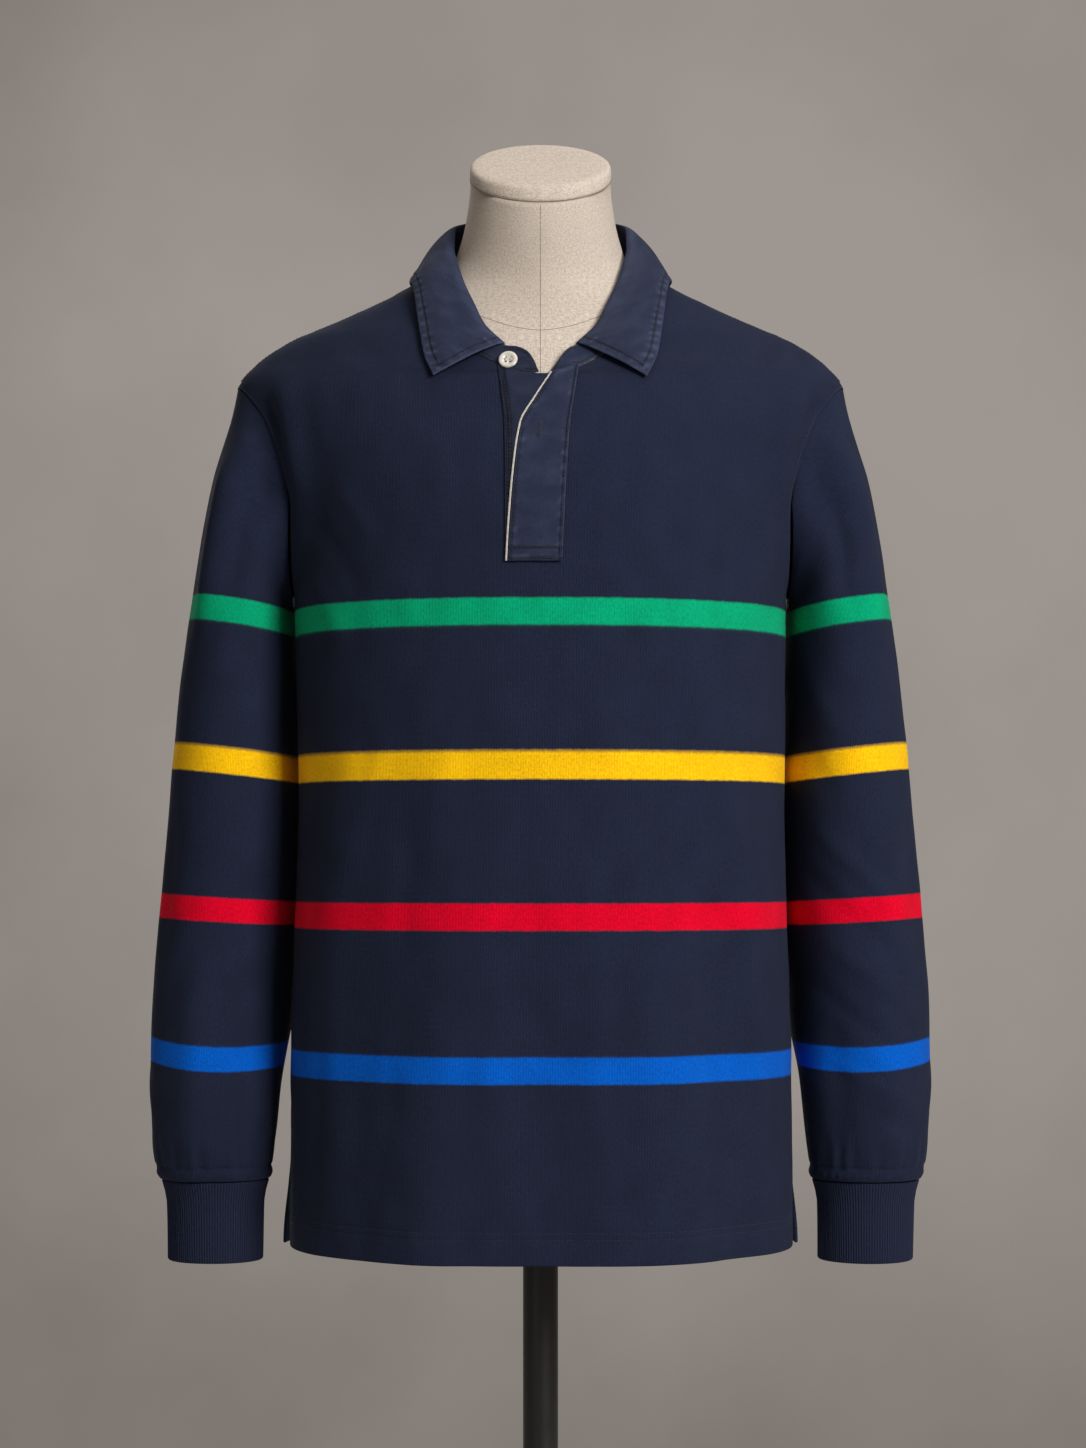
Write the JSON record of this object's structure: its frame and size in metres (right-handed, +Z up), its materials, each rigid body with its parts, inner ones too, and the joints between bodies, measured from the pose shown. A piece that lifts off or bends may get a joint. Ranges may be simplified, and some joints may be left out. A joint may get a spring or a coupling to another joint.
{
  "type": "rugby shirt on a limbless dress form with a pole and base",
  "caption": "Long-sleeved rugby shirt in navy jersey with wide hoops, a twill collar and ribbed cuffs, worn by a linen torso form on a black pole and round base",
  "frame": {"origin": "centre of the underside of the round base, on the axis of the pole", "axes": "+Z up along the pole, -Y the front of the shirt, +X the wearer's left"},
  "size_m": [0.5946, 0.35, 1.5166],
  "materials": {
    "jersey": "matte cotton jersey, navy with green, yellow, red and blue hoops",
    "rib_knit": "matte ribbed cotton knit, navy",
    "twill": "washed cotton twill, faded navy",
    "tape": "matte herringbone tape, ivory",
    "button": "satin ivory",
    "linen": "matte plain-weave linen, beige",
    "black_metal": "satin black paint"
  },
  "bodies": {
    "root": {"front_panel": "jersey", "back_panel": "jersey", "left_sleeve": "jersey", "right_sleeve": "jersey", "left_cuff": "rib_knit", "right_cuff": "rib_knit", "collar_stand": "twill", "collar_leaf": "twill", "under_placket": "twill", "top_placket": "twill", "placket_tape": "tape", "neck_button": "button", "form_torso": "linen", "form_neck_cap": "linen", "pole_socket": "black_metal", "pole": "black_metal", "pole_flange": "black_metal", "base_plate": "black_metal"}
  },
  "joints": []
}
